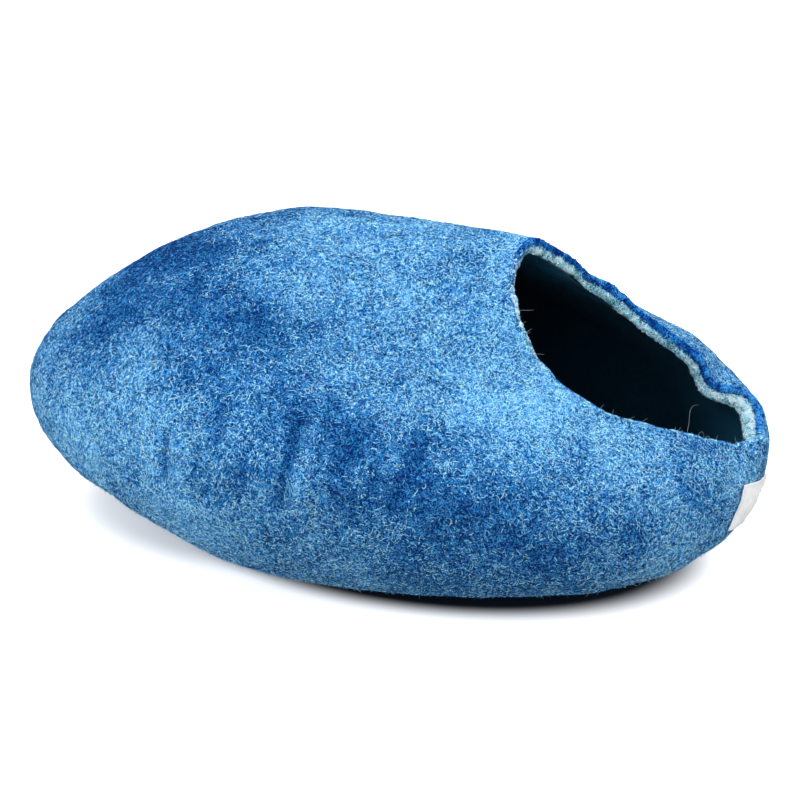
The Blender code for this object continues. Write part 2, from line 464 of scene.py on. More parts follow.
def wall_rings():
    """Rings of the wall from the inner pole over the edge to the outer pole.

    Returns the points, and for each ring its place across the wall and its reach from the edge."""
    turns = ring_turns()
    inner_reach = np.linspace(1, 0, INNER_RINGS + 1)[1:] ** INNER_GATHER
    outer_reach = np.linspace(0, 1, OUTER_RINGS + 1)[:-1] ** OUTER_GATHER
    across = (1 - np.cos(np.linspace(math.pi, 0, EDGE_RINGS + 2)[1:-1])) / 2

    reach, turn = np.meshgrid(inner_reach, turns, indexing="ij")
    thicker = heel_roll(turn) * np.exp(-((reach / HEEL_PALE) ** 2))
    inner = skin(turn, reach) - outward(skin, turn, reach) * (WALL + thicker)[..., None]

    start = 0 * turns
    foot = skin(turns, start)
    normal = outward(skin, turns, start)
    out = unit(foot - skin(turns, start + EDGE_STEP))
    wander = uneven(foot, GROOVE_WANDER, SEED + 3)
    plies = 1 + uneven(foot, PLY_UNEVEN, SEED + 5)
    edge = []
    for place in across:
        moved = np.clip(place + wander * 4 * place * (1 - place), 0, 1)
        inward = WALL * place + heel_roll(turns) * smooth_step(*INNER_PLY, place)
        edge.append(foot - normal * inward[..., None] + out * (edge_curve(moved) * plies)[..., None])
    edge = np.array(edge)

    reach, turn = np.meshgrid(outer_reach, turns, indexing="ij")
    outer = skin(turn, reach)
    outer = outer - outward(skin, turn, reach) * crease_depth(outer)[..., None]

    points = np.concatenate([inner, edge, outer])
    ring_across = np.concatenate([1 + 0 * inner_reach, across, 0 * outer_reach])
    ring_reach = np.concatenate([inner_reach, 0 * across, outer_reach])
    return points, ring_across, ring_reach


def ring_normals(points):
    """Outward normals of a grid of rings, closed around each ring."""
    down = np.gradient(points, axis=0)
    around = np.roll(points, -1, axis=1) - np.roll(points, 1, axis=1)
    return unit(np.cross(down, around))


def wall_poles():
    """Middle points under the toe that close the inner and the outer skin."""
    turns = ring_turns()
    pole = skin(turns, 1 + 0 * turns).mean(axis=0)
    normal = unit(outward(skin, turns, 1 + 0 * turns).mean(axis=0))
    return pole - normal * WALL, pole


def ring_faces(ring_count, meridians):
    """Quads between neighbouring rings, then a fan at the first and at the last ring."""
    ring, near = np.meshgrid(np.arange(ring_count - 1), np.arange(meridians), indexing="ij")
    far = (near + 1) % meridians
    low = ring * meridians
    high = low + meridians
    quads = np.stack([low + near, high + near, high + far, low + far], axis=-1).reshape(-1, 4)
    first_pole = ring_count * meridians
    last = (ring_count - 1) * meridians
    fans = []
    for here in range(meridians):
        there = (here + 1) % meridians
        fans.append((first_pole, here, there))
        fans.append((last + here, first_pole + 1, last + there))
    return quads.tolist() + fans


def add_mesh(name, points, faces, materials, shades=None):
    """Mesh object in the row frame, smooth, with a material number for each face if given."""
    mesh = bpy.data.meshes.new(name)
    mesh.from_pydata(np.asarray(points).reshape(-1, 3).tolist(), [], faces)
    for material in materials:
        mesh.materials.append(material)
    if shades is not None:
        mesh.polygons.foreach_set("material_index", np.asarray(shades, dtype=np.int32))
    mesh.shade_smooth()
    thing = bpy.data.objects.new(name, mesh)
    bpy.context.scene.collection.objects.link(thing)
    return thing


def add_numbers(thing, name, values):
    """A number at each point of a mesh, for its material."""
    attribute = thing.data.attributes.new(name, "FLOAT", "POINT")
    attribute.data.foreach_set("value", np.asarray(values, dtype=np.float32))


class Wall:
    """Grid of the fine wall, to build its mesh and to lay fibres on it."""

    def __init__(self):
        points, self.across, self.reach = wall_rings()
        normals = ring_normals(points)
        inside = np.clip((self.across - 0.5) * 2, 0, 1)[:, None]
        on_edge = ((self.across > 0) & (self.across < 1))[:, None]
        rough = uneven(points, INNER_PLY_ROUGH, SEED + 6) * inside + uneven(points, EDGE_ROUGH, SEED + 7)
        lumps = (uneven(points, LUMPS, SEED) + rough * on_edge) * MM
        points = points + normals * (lumps * smooth_step(*LUMPS_BEGIN, points[..., 2]))[..., None]
        points[..., 2] = np.maximum(points[..., 2], 0)
        self.points = points
        self.normals = ring_normals(points)
        self.pale = paleness(points)
        self.first_outer = int(np.argmax(self.across == 0))
        self.first_edge = INNER_RINGS
        self.last = len(points) - 3

    def mesh(self, material):
        """The wall as a mesh, with the numbers that its material reads."""
        poles = np.array(wall_poles())
        faces = ring_faces(len(self.points), MERIDIANS)
        points = np.concatenate([self.points.reshape(-1, 3), poles])
        thing = add_mesh("felt_wall", points, faces, [material])
        wander = uneven(self.points, COLOUR_WANDER, SEED + 8)
        across = self.across[:, None] + wander * ((self.across > 0) & (self.across < 1))[:, None]
        far = far_side(self.points)
        throat = gathered(ring_turns(), THROAT_TURN, THROAT_SPREAD)
        change = GROOVE - AQUA_NEAR * (1 - far) - AQUA_THROAT * throat
        inside = smooth_step(change - CHANGE_BEFORE, change + CHANGE_AFTER, across)
        inside = inside * (self.across > 0)[:, None]
        # Painted shade in the groove of the cut edge, on the far side
        groove = np.exp(-(((across - GROOVE) / GROOVE_SPREAD) ** 2)) * far
        # Painted shade of the cave: how far the inner skin lies from the edge, less inside the heel
        depth = np.where(self.across[:, None] >= 1, self.reach[:, None], 0) + 0 * across
        depth = np.maximum(depth - HEEL_PALE * gathered(ring_turns(), HEEL_TURN, HEEL_SPREAD), 0)
        rim = far * np.exp(-((self.reach[:, None] / RIM_REACH) ** 2)) * (self.across[:, None] < GROOVE)
        fields = {"inside": inside, "groove": groove, "cave_shade_depth": depth, "rim": rim, "paleness": self.pale}
        for name, field in fields.items():
            at_inner_pole = 1 if name in ("inside", "cave_shade_depth") else 0
            add_numbers(thing, name, np.append(field.reshape(-1), [at_inner_pole, 0]))
        return thing

    def at(self, ring, turn, field):
        """Value of a grid at fractional rings and meridians."""
        ring = np.clip(ring, 0, len(self.points) - 1.001)
        low = np.floor(ring).astype(int)
        share_down = ring - low
        near = np.floor(turn).astype(int)
        share_round = turn - near
        here = near % MERIDIANS
        there = (near + 1) % MERIDIANS
        if field.ndim == 3:
            share_down = share_down[..., None]
            share_round = share_round[..., None]
        upper = field[low, here] * (1 - share_round) + field[low, there] * share_round
        lower = field[low + 1, here] * (1 - share_round) + field[low + 1, there] * share_round
        return upper * (1 - share_down) + lower * share_down

    def scatter(self, count, rings, rng, chance=None):
        """Places spread evenly by area over a range of rings, more where chance is high."""
        first, last = rings
        grid = self.points[first : last + 1]
        down = grid[1:] - grid[:-1]
        around = np.roll(grid, -1, axis=1) - grid
        area = np.linalg.norm(np.cross(down, around[:-1]), axis=-1)
        if chance is not None:
            area = area * chance(grid[:-1])
        pick = rng.choice(area.size, size=count, p=(area / area.sum()).reshape(-1))
        ring = first + pick // MERIDIANS + rng.random(count)
        turn = pick % MERIDIANS + rng.random(count)
        return ring, turn

    def walk(self, ring, turn, length, heading, curl, steps):
        """Paths over the wall: each starts at a place and bends as it goes."""
        normal = unit(self.at(ring, turn, self.normals))
        down = self.at(ring + 0.5, turn, self.points) - self.at(ring - 0.5, turn, self.points)
        around = self.at(ring, turn + 0.5, self.points) - self.at(ring, turn - 0.5, self.points)
        first = unit(around)
        second = np.cross(normal, first)
        gram = np.stack(
            [
                np.stack([(around * first).sum(-1), (down * first).sum(-1)], -1),
                np.stack([(around * second).sum(-1), (down * second).sum(-1)], -1),
            ],
            axis=-2,
        )
        inverse = np.linalg.pinv(gram)
        places = []
        along = np.zeros((len(ring), 2))
        step = length / (steps - 1)
        angle = heading
        for number in range(steps):
            move = np.einsum("nij,nj->ni", inverse, along)
            places.append((ring + move[:, 1], turn + move[:, 0]))
            angle = angle + curl[:, number]
            along = along + np.stack([np.cos(angle), np.sin(angle)], -1) * step[:, None]
        rings = np.stack([place[0] for place in places], axis=1)
        turns = np.stack([place[1] for place in places], axis=1)
        return self.at(rings, turns, self.points), unit(self.at(rings, turns, self.normals))


# Fibres


# Ends of a flat fibre, as angles of the half round that it tapers by, and how many times its own
# length a fibre may be, so that none jumps across the narrow edge
RIBBON_END = 0.12
LONGER_AT_MOST = 1.5


def ribbons(name, paths, normals, widths, materials, shades, twist, root):
    """Flat fibres along paths, each with its own wool shade, joined into one mesh."""
    along = unit(np.gradient(paths, axis=1))
    across = unit(np.cross(normals, along))
    up = np.cross(along, across)
    across = across * np.cos(twist)[:, None, None] + up * np.sin(twist)[:, None, None]
    steps = paths.shape[1]
    taper = np.sin(np.linspace(root, math.pi - RIBBON_END, steps)) ** 0.5
    half = across * (widths[:, None] * taper[None, :] / 2)[..., None]
    points = np.stack([paths - half, paths + half], axis=2)
    fibre, step = np.meshgrid(np.arange(len(paths)), np.arange(steps - 1), indexing="ij")
    first = (fibre * steps + step) * 2
    faces = np.stack([first, first + 1, first + 3, first + 2], axis=-1).reshape(-1, 4)
    return add_mesh(name, points, faces.tolist(), materials, np.repeat(shades, steps - 1))


SHADE_NAMES = ("deep", "mid", "violet", "teal", "soft", "pale")
DEEP, MID, VIOLET, TEAL, SOFT, PALE = range(len(SHADE_NAMES))


def pick_shades(pale, rng):
    """Number of the wool shade of each fibre, more pale ones in pale patches."""
    mix = rng.random(len(pale)) + PALE_PUSH * np.clip(pale, -PALE_MOST, PALE_MOST)
    shade = np.choose(np.digitize(mix, SHADE_CUTS), [DEEP, MID, SOFT, PALE])
    odd = rng.random(len(pale))
    plain = (shade > DEEP) & (shade < PALE)
    shade = np.where((odd < ODD_SHARE) & plain, VIOLET, shade)
    return np.where((odd > 1 - ODD_SHARE) & plain, TEAL, shade)


# Kinds of fibre: points of each path, length, how much it bends as a whole and at each point, how
# high its foot is and how high it rises above that, its width, and its twist out of the surface.
# Lengths are in millimetres and bends and twists in radians.
KIND_COLUMNS = ("steps", "length", "sway", "bend", "foot", "rise", "width", "twist")
KINDS = (
    (2, (1.2, 3.2), 0, 0.7, 0.05, (0.05, 0.60), (0.32, 0.60), 0.7),
    (3, (1.5, 4.0), 0, 0.5, -0.1, None, (0.12, 0.24), 1.4),
    (5, (4.0, 9.0), 0.35, 0.6, 0.3, (0.3, 1.4), (0.20, 0.40), 0),
    (5, (1.6, 4.0), 0.4, 0.7, 0, (0.2, 1.1), (0.30, 0.60), 0.9),
)
SHORT_KIND, FUZZ_KIND, LONG_KIND, TUFT_KIND = rows(KINDS, KIND_COLUMNS)


class Fibres:
    """Fibres of one kind on the wall, from their roots to the mesh that they are joined into.

    All numbers are drawn in one order: length, bends, heading, rise, width, wool shade, twist."""

    def __init__(self, wall, kind, roots, rng):
        ring, turn = roots
        self.kind = kind
        self.rng = rng
        self.count = len(ring)
        self.length = rng.uniform(*kind["length"], self.count) * MM
        sway = rng.normal(0, kind["sway"], (self.count, 1)) if kind["sway"] else 0
        bend = sway + rng.normal(0, kind["bend"], (self.count, kind["steps"]))
        heading = rng.uniform(0, 2 * math.pi, self.count)
        self.path, self.normal = wall.walk(ring, turn, self.length, heading, bend, kind["steps"])

    def rise(self, shape, heights=None):
        """Raises each path: a shape from 0 to 1 along it, times heights or its kind's own rise."""
        if heights is None:
            heights = self.rng.uniform(*self.kind["rise"], (self.count, 1))
        lift = self.kind["foot"] * MM + shape[None, :] * heights * MM
        self.path = self.path + self.normal * lift[..., None]
        self.width = self.rng.uniform(*self.kind["width"], self.count) * MM

    def joined(self, name, materials, shade, spare=0.0, root=RIBBON_END):
        """One mesh of all the fibres that kept about their own length and a spare length."""
        most = self.kind["twist"]
        twist = self.rng.uniform(-most, most, self.count) if most else np.zeros(self.count)
        walked = np.linalg.norm(np.diff(self.path, axis=1), axis=-1).sum(axis=1)
        kept = walked < LONGER_AT_MOST * (self.length + spare) + 1.0 * MM
        shape = (self.path[kept], self.normal[kept], self.width[kept])
        return ribbons(name, *shape, materials, shade[kept], twist[kept], root)


def up_and_down(steps):
    """Shape of a path that rises to its middle and comes down again."""
    return np.sin(np.linspace(0, math.pi, steps))


# Short curls: how many in each of the pieces from toe to heel, how broad their root is, as an angle
# of the half round that they taper by, and how many grow where the bed rests, as a share
CURLS_A_PIECE = 76000
CURL_ROOT = 1.2
CURL_PIECES = ("toe", "middle", "instep", "heel")
CURLS_UNDER = 0.15


def short_curls(wall, materials):
    """Short fine fibres felted into the outer skin, each rising a little to its tip."""
    pieces = []
    splits = np.linspace(-HALF_LENGTH, HALF_LENGTH, len(CURL_PIECES) + 1)
    for number, part in enumerate(CURL_PIECES):
        rng = np.random.default_rng(SEED + 100 + number)
        low, high = splits[number], splits[number + 1]

        def chance(points):
            inside = (points[..., 0] >= low) & (points[..., 0] < high)
            return inside * (CURLS_UNDER + (1 - CURLS_UNDER) * off_floor(points))

        roots = wall.scatter(CURLS_A_PIECE, (wall.first_outer, wall.last), rng, chance)
        curls = Fibres(wall, SHORT_KIND, roots, rng)
        curls.rise(np.linspace(0, 1, SHORT_KIND["steps"]))
        # Painted shade: fibres along the bottom of a trough are darker
        bottom = crease_depth(curls.path[:, -1], BOTTOM_WIDTH) / MM
        shade = pick_shades(wall.at(*roots, wall.pale) - TROUGH_BOTTOM_SHADE * bottom, rng)
        pieces.append(curls.joined("curls_" + part, materials, shade, root=CURL_ROOT))
    return pieces


# Fuzz: how many hairs, how much paler they are, how they bend up along their length, and the shape
# and scale of the spread of their heights and the highest of them, millimetres
FUZZ_COUNT = 16000
FUZZ_PALER = 0.2
FUZZ_SHAPE = 0.8
FUZZ_HEIGHTS = (2.0, 0.5)
FUZZ_HIGHEST = 3.0


def standing_fuzz(wall, materials):
    """Short fine hairs that stand off the wool, most of them low and a few of them high."""
    rng = np.random.default_rng(SEED + 200)
    roots = wall.scatter(FUZZ_COUNT, (wall.first_edge, wall.last), rng, off_floor)
    fuzz = Fibres(wall, FUZZ_KIND, roots, rng)
    heights = np.minimum(rng.gamma(*FUZZ_HEIGHTS, (FUZZ_COUNT, 1)), FUZZ_HIGHEST)
    fuzz.rise(np.linspace(0, 1, FUZZ_KIND["steps"]) ** FUZZ_SHAPE, heights)
    shade = np.maximum(pick_shades(wall.at(*roots, wall.pale) + FUZZ_PALER, rng), MID)
    return fuzz.joined("standing_fuzz", materials, shade, heights[:, 0] * MM)


LONG_COUNT = 7000
LONG_PALER = 0.3


def long_curls(wall, materials):
    """Longer paler fibres that wander over the short ones."""
    rng = np.random.default_rng(SEED + 250)
    roots = wall.scatter(LONG_COUNT, (wall.first_outer, wall.last), rng, off_floor)
    curls = Fibres(wall, LONG_KIND, roots, rng)
    curls.rise(up_and_down(LONG_KIND["steps"]))
    shade = np.maximum(pick_shades(wall.at(*roots, wall.pale) + LONG_PALER, rng), MID)
    return curls.joined("long_curls", materials, shade)


# Tufts on the cut edge: their wool, first and last ring counted from the inner skin, how many
# there are, where the wool goes from dark to middle and to light, and where they lie
TUFT_COLUMNS = ("piece", "wool", "first", "last", "count", "cuts", "where")
TUFTS = (
    ("inner_ply_tufts", "aqua", -1, 11, 7000, (0.28, 0.80), None),
    ("outer_ply_tufts", "rim", 13, 24, 3500, (0.50, 0.92), far_side),
    ("near_edge_tufts", "near", 15, 24, 2000, (0.30, 0.62), near_but_throat),
    ("throat_edge_tufts", "aqua", 7, 22, 1600, (0.10, 0.62), throat_side),
)
# Painted light: how much lighter the tufts are around the heel
HEEL_PAINTED_LIGHT = 0.5


def edge_tufts(wall, row, materials):
    """Short tufts on a band of the cut edge, in clumps of lighter and darker wool, lighter around the heel
    as painted light.
    """
    rng = np.random.default_rng(SEED + 300 + row["count"])
    band = (wall.first_edge + row["first"], wall.first_edge + row["last"])
    roots = wall.scatter(row["count"], band, rng, row["where"])
    tufts = Fibres(wall, TUFT_KIND, roots, rng)
    tufts.rise(up_and_down(TUFT_KIND["steps"]))
    clump = uneven(tufts.path[:, 0], TUFT_CLUMPS, SEED + 301)
    # Painted light: tufts around the heel get lighter shades
    clump = clump + HEEL_PAINTED_LIGHT * gathered(roots[1] * 2 * math.pi / MERIDIANS, HEEL_TURN, HEEL_SPREAD)
    shade = np.digitize(rng.random(row["count"]) + clump, row["cuts"])
    return tufts.joined(row["piece"], materials, shade)


# Loose threads at the cut edge: the turn of the root around the opening, and the bends of the
# thread, across and up from its root as the near side is looked at, millimetres
THREADS = (
    (5.18, ((0, 0), (0.4, 5), (1.4, 8.6), (1.6, 13.7), (2.2, 18), (3.6, 20.5), (5.4, 21.5), (7.6, 21.5))),
    (5.30, ((0, 0), (1.4, 4.3), (3.6, 5.4), (5.0, 2.9), (3.6, 0))),
    (5.39, ((0, 0), (1.1, 3.6), (3.6, 2.9), (5.0, -0.7))),
    (5.51, ((0, 0), (1.4, 2.2), (2.5, 5.4))),
    (4.37, ((0, 0), (0, 3.6), (2.2, 5.8))),
    (4.48, ((0, 0), (-1.4, 3.6), (-0.7, 6.5))),
    (4.58, ((0, 0), (2, 3), (5, 4.5))),
    (4.72, ((0, 0), (-1, 3), (1, 5.5), (3, 6))),
    (3.50, ((0, 0), (5, 0.5), (9, 0.2), (12.5, 0.6))),
    (3.67, ((0, 0), (3, 1.5), (5, 3))),
    (3.80, ((0, 0), (3, 0.8), (7, 0.4))),
)
SHORT_HAIRS = 110
HAIR_UP = 1.2
HAIR_ASIDE = 1.0
HAIR_BEND = 0.7
HAIR_LONGER = 1.8
THREAD_THICK = 0.00030
THREAD_ROOT = 0.35
THREAD_CREST = 0.0020
THREAD_TIP = 0.5
NO_THREAD_RUNS = (0.31, 0.87, 0.38)


def thread_rows():
    """The loose threads of the table, and many short hairs all round the edge."""
    rng = np.random.default_rng(SEED + 400)
    hairs = []
    for _ in range(SHORT_HAIRS):
        first = rng.normal(0, HAIR_ASIDE, 2) + (0, HAIR_UP)
        turn = rng.uniform(0, 2 * math.pi)
        hairs.append((turn, ((0, 0), first, first * HAIR_LONGER + rng.normal(0, HAIR_BEND, 2))))
    return [*THREADS, *hairs]


def rounded(path):
    """Path with its corners cut twice."""
    for _ in range(2):
        early = 0.75 * path[:-1] + 0.25 * path[1:]
        late = 0.25 * path[:-1] + 0.75 * path[1:]
        path = np.concatenate([path[:1], np.stack([early, late], axis=1).reshape(-1, 3), path[-1:]])
    return path


def square_tubes(name, paths, thick, end_share, material):
    """Thin square tubes along paths, each growing thinner to its end, joined into one mesh."""
    points = []
    faces = []
    for path in paths:
        along = unit(np.gradient(path, axis=0))
        side = unit(np.cross(along, NO_THREAD_RUNS))
        top = np.cross(along, side)
        half = thick / 2 * np.linspace(1, end_share, len(path))[:, None]
        corners = np.stack([side * half, top * half, -side * half, -top * half], axis=1)
        first = len(points)
        points += (path[:, None] + corners).reshape(-1, 3).tolist()
        for low in range(first, len(points) - 4, 4):
            for here in range(4):
                there = (here + 1) % 4
                faces.append((low + here, low + there, low + 4 + there, low + 4 + here))
    return add_mesh(name, points, faces, [material])


def stray_threads(material):
    """Loose threads and hairs, rooted in the top of the cut edge."""
    across = np.array([math.cos(CAMERA_TURN), math.sin(CAMERA_TURN), 0])
    up = np.cross(view_back(), across)
    paths = []
    for turn, bends in thread_rows():
        turn = np.array([turn])
        foot = skin(turn, 0 * turn)[0]
        crest = unit(foot - skin(turn, 0 * turn + EDGE_STEP)[0])
        root = foot - outward(skin, turn, 0 * turn)[0] * WALL * THREAD_ROOT + crest * THREAD_CREST
        bends = np.array(bends) * MM
        paths.append(rounded(root + bends[:, :1] * across + bends[:, 1:] * up))
    return square_tubes("stray_threads", paths, THREAD_THICK, THREAD_TIP, material)


# Wires of the shaders


class Wire:
    """A shader socket that takes part in plain sums, and makes the other nodes of its material."""

    def __init__(self, tree, socket=None):
        self.tree = tree
        self.socket = socket

    def node(self, kind, settings, sockets, output=0):
        """Adds a node: its type, its settings, and the values or wires of its sockets."""
        added = self.tree.nodes.new(kind)
        for name, value in settings.items():
            setattr(added, name, value)
        for name, value in sockets.items():
            if isinstance(value, Wire):
                self.tree.links.new(value.socket, added.inputs[name])
            else:
                added.inputs[name].default_value = value
        return Wire(self.tree, added.outputs[output])

    def sum(self, operation, first, second):
        return self.node("ShaderNodeMath", {"operation": operation}, {0: first, 1: second})

    def __add__(self, other):
        return self.sum("ADD", self, other)

    def __radd__(self, other):
        return self.sum("ADD", other, self)

    def __sub__(self, other):
        return self.sum("SUBTRACT", self, other)

    def __rsub__(self, other):
        return self.sum("SUBTRACT", other, self)

    def __mul__(self, other):
        return self.sum("MULTIPLY", self, other)

    def __rmul__(self, other):
        return self.sum("MULTIPLY", other, self)

    def __abs__(self):
        return self.sum("ABSOLUTE", self, 0.0)

    def between(self, low, high, start=0.0, end=1.0):
        """Eases from start at low to end at high."""
        limits = {"From Min": low, "From Max": high, "To Min": start, "To Max": end, "Value": self}
        return self.node("ShaderNodeMapRange", {"interpolation_type": "SMOOTHSTEP"}, limits)

    def blend(self, first, second):
        """Colour between two colours, with this wire as the share of the second."""
        mixed = self.tree.nodes.new("ShaderNodeMix")
        mixed.data_type = "RGBA"
        for socket, value in zip((mixed.inputs[0], mixed.inputs[6], mixed.inputs[7]), (self, first, second)):
            if isinstance(value, Wire):
                self.tree.links.new(value.socket, socket)
            else:
                socket.default_value = (*value, 1.0)
        return Wire(self.tree, mixed.outputs[2])

    def noise(self, size, detail=2.0, rough=0.5, output=0):
        """Noise at this place, with lumps of a size in metres."""
        sockets = {"Vector": self, "Scale": 1 / size, "Detail": detail, "Roughness": rough}
        return self.node("ShaderNodeTexNoise", {}, sockets, output)

    def pushed(self, size, amount, shift=0.0):
        """This place moved about by noise, so that what is drawn there curls."""
        moved = self.node("ShaderNodeVectorMath", {"operation": "ADD"}, {0: self, 1: (shift, shift, shift)})
        swirl = moved.noise(size, 1.0, 0.5, 1)
        middle = self.node("ShaderNodeVectorMath", {"operation": "SUBTRACT"}, {0: swirl, 1: (0.5, 0.5, 0.5)})
        scaled = self.node("ShaderNodeVectorMath", {"operation": "SCALE"}, {0: middle, "Scale": amount})
        return self.node("ShaderNodeVectorMath", {"operation": "ADD"}, {0: moved, 1: scaled})


def new_material(name, colour, roughness, sheen=0.0):
    """Material with its shader, and a wire to build on."""
    material = bpy.data.materials.new(name)
    material.use_nodes = True
    shader = material.node_tree.nodes["Principled BSDF"]
    shader.inputs["Base Color"].default_value = (*colour, 1.0)
    shader.inputs["Roughness"].default_value = roughness
    shader.inputs["Specular IOR Level"].default_value = 0.0
    shader.inputs["Sheen Weight"].default_value = sheen
    shader.inputs["Sheen Roughness"].default_value = 0.45
    material.diffuse_color = (*colour, 1.0)
    return material, shader, Wire(material.node_tree)


def connect(shader, name, wire):
    wire.tree.links.new(wire.socket, shader.inputs[name])


# Sizes of the felt's clouds, clumps, grain and curly lines, and its bump, in metres
CLOUD = 0.016
CLUMP = 0.0040
GRAIN = 0.0010
AQUA_SHADOW = 0.007
LONG_LINE = 0.0048
SHORT_LINE = 0.0026
TINY_LINE = 0.0015
BUMP_HEIGHT = 0.0010
BUMP_STRENGTH = 0.7
RIM_STRENGTH = 0.90
# How strong the painted shade in the groove is
GROOVE_SHADE_STRENGTH = 0.90


def curl_lines(place, size, width, shift):
    """Thin curly lines, one where the noise crosses its middle."""
    field = place.pushed(size * 1.6, size * 1.5, shift).noise(size, 1.0, 0.4)
    return abs(field - 0.5).between(0.0, width, 1.0, 0.0)


def felt_material():
    """Blue wool with curly paler fibres outside, pale aqua wool inside, with painted shade deeper in the
    cave, in the groove of the cut edge and, in part, between the fibres.
    """
    material, shader, wire = new_material("blue_wool_felt", MID_BLUE, 0.95, 0.02)
    place = wire.node("ShaderNodeTexCoord", {}, {}, "Object")
    numbers = ("paleness", "inside", "groove", "rim", "cave_shade_depth")
    pale, inside, groove, rim, depth = [
        wire.node("ShaderNodeAttribute", {"attribute_name": name}, {}, "Fac") for name in numbers
    ]

    cloud = place.noise(CLOUD, 3.0, 0.6)
    clump = place.noise(CLUMP, 2.0, 0.6)
    grain = place.noise(GRAIN, 2.0, 0.7)
    long_lines = curl_lines(place, LONG_LINE, 0.050, 0.0)
    short_lines = curl_lines(place, SHORT_LINE, 0.060, 3.1)
    tiny_lines = curl_lines(place, TINY_LINE, 0.080, 7.7)

    depth_of_blue = (cloud - 0.5) * 0.9 + (clump - 0.5) * 1.2 + (grain - 0.5) * 2.8 + pale * 0.24 + 0.40
    # Partly painted shade: the base between the fibres goes down to the darkest blue
    base = depth_of_blue.between(0.10, 0.90).blend(GAP_SHADE_BLUE, MID_BLUE)
    fibre = long_lines * 0.7 + short_lines * 0.7 + tiny_lines * 0.6
    strength = (fibre * (pale * 0.25 + 0.75) * (grain * 1.4 + 0.25)).between(0.05, 1.0)
    outer = (strength * 0.8).blend(base, SOFT_BLUE)
    outer = (strength * tiny_lines).between(0.40, 0.95).blend(outer, PALE_BLUE)
    rim_wool = (clump * 0.7 + grain * 0.5 + strength * 0.2).between(0.42, 0.85).blend(RIM_DEEP, RIM_BRIGHT)
    outer = (rim * RIM_STRENGTH).blend(outer, rim_wool)

    tuft = (clump * 1.1 + short_lines * 0.2).between(0.35, 0.80)
    aqua = tuft.blend(PALE_AQUA, WHITE_AQUA)
    aqua = place.noise(AQUA_SHADOW, 2.0, 0.6).between(0.54, 0.66).blend(aqua, SHADE_TEAL)
    # Painted shade: the pale aqua dims the deeper it lies in the cave
    aqua = depth.between(0.0, 0.012).blend(aqua, CAVE_MOUTH_SHADE)
    aqua = depth.between(0.04, 0.30).blend(aqua, CAVE_DEEP_SHADE)
    colour = inside.blend(outer, aqua)
    # Painted shade: the groove of the cut edge made darker
    colour = (groove * GROOVE_SHADE_STRENGTH).blend(colour, GROOVE_SHADE_BLUE)
    connect(shader, "Base Color", colour)

    height = fibre * 0.5 + grain * 0.8 + cloud * 0.6
    sockets = {"Strength": BUMP_STRENGTH, "Distance": BUMP_HEIGHT, "Height": height}
    connect(shader, "Normal", wire.node("ShaderNodeBump", {}, sockets, "Normal"))
    return material


def wool_shade(name, colour):
    """Plain matte material of single fibres and threads."""
    material, _, _ = new_material(name, colour, 0.85, 0.015)
    return material


# The label


LABEL_WIDTH = 0.056
LABEL_HEIGHT = 0.032
LABEL_THICK = 0.0010
LABEL_CENTRE_Y = -0.039
LABEL_CENTRE_Z = 0.079
LABEL_TURN = math.radians(20)
LABEL_ACROSS = 70
LABEL_UP = 40
LABEL_SMOOTHING = 6

# How high the label lies off the felt, how much higher its border and how wide that is, millimetres
LABEL_LIFT = 0.75
BORDER_LIFT = 0.35
BORDER_WIDE = 1.2

# Ribs of the tape for each metre, up and across
WEFT_RIBS = 480.0
WARP_RIBS = 420.0
WEAVE_DEPTH = 0.0002


def label_place(along, up):
    """Place across and height on the heel for a place on the turned label."""
    aside = LABEL_CENTRE_Y + along * math.cos(LABEL_TURN) + up * math.sin(LABEL_TURN)
    height = LABEL_CENTRE_Z - along * math.sin(LABEL_TURN) + up * math.cos(LABEL_TURN)
    return aside, height


def label_grid(wall_object):
    """Places on the heel under the label, with their normals."""
    mesh = wall_object.data
    tree = BVHTree.FromPolygons([v.co for v in mesh.vertices], [p.vertices for p in mesh.polygons])
    points = np.zeros((LABEL_UP + 1, LABEL_ACROSS + 1, 3))
    normals = np.zeros_like(points)
    for row, up in enumerate(np.linspace(-0.5, 0.5, LABEL_UP + 1) * LABEL_HEIGHT):
        for step, along in enumerate(np.linspace(-0.5, 0.5, LABEL_ACROSS + 1) * LABEL_WIDTH):
            aside, height = label_place(along, up)
            hit, normal, _, _ = tree.ray_cast(Vector((1.0, aside, height)), Vector((-1.0, 0.0, 0.0)))
            points[row, step] = hit
            normals[row, step] = normal
    for _ in range(LABEL_SMOOTHING):
        above_and_below = normals[:-2, 1:-1] + normals[2:, 1:-1]
        beside = normals[1:-1, :-2] + normals[1:-1, 2:]
        normals[1:-1, 1:-1] = unit(normals[1:-1, 1:-1] + above_and_below + beside)
    return points, normals


def tape_material():
    """White woven tape: fine ribs of warp and weft, a little grey as painted shade in the hollows of the
    weave, and greyer in uneven patches.
    """
    material, shader, wire = new_material("white_woven_tape", TAPE_WHITE, 0.75, 0.1)
    place = wire.node("ShaderNodeTexCoord", {}, {}, "Object")
    ribs = []
    for direction, scale in (("Z", WEFT_RIBS), ("Y", WARP_RIBS)):
        settings = {"wave_type": "BANDS", "bands_direction": direction}
        sockets = {"Vector": place, "Scale": scale, "Distortion": 0.6, "Detail": 1.0}
        ribs.append(wire.node("ShaderNodeTexWave", settings, sockets, "Fac"))
    weft, warp = ribs
    weave = weft * 0.6 + warp * 0.4
    shade = (weave * 0.5 + place.noise(0.009, 3.0, 0.6) * 0.6).between(0.2, 0.8)
    # Painted shade: the tape is greyer in the hollows of its weave
    connect(shader, "Base Color", shade.blend(TAPE_HOLLOW_SHADE, TAPE_WHITE))
    sockets = {"Strength": 0.4, "Distance": WEAVE_DEPTH, "Height": weave}
    connect(shader, "Normal", wire.node("ShaderNodeBump", {}, sockets, "Normal"))
    return material


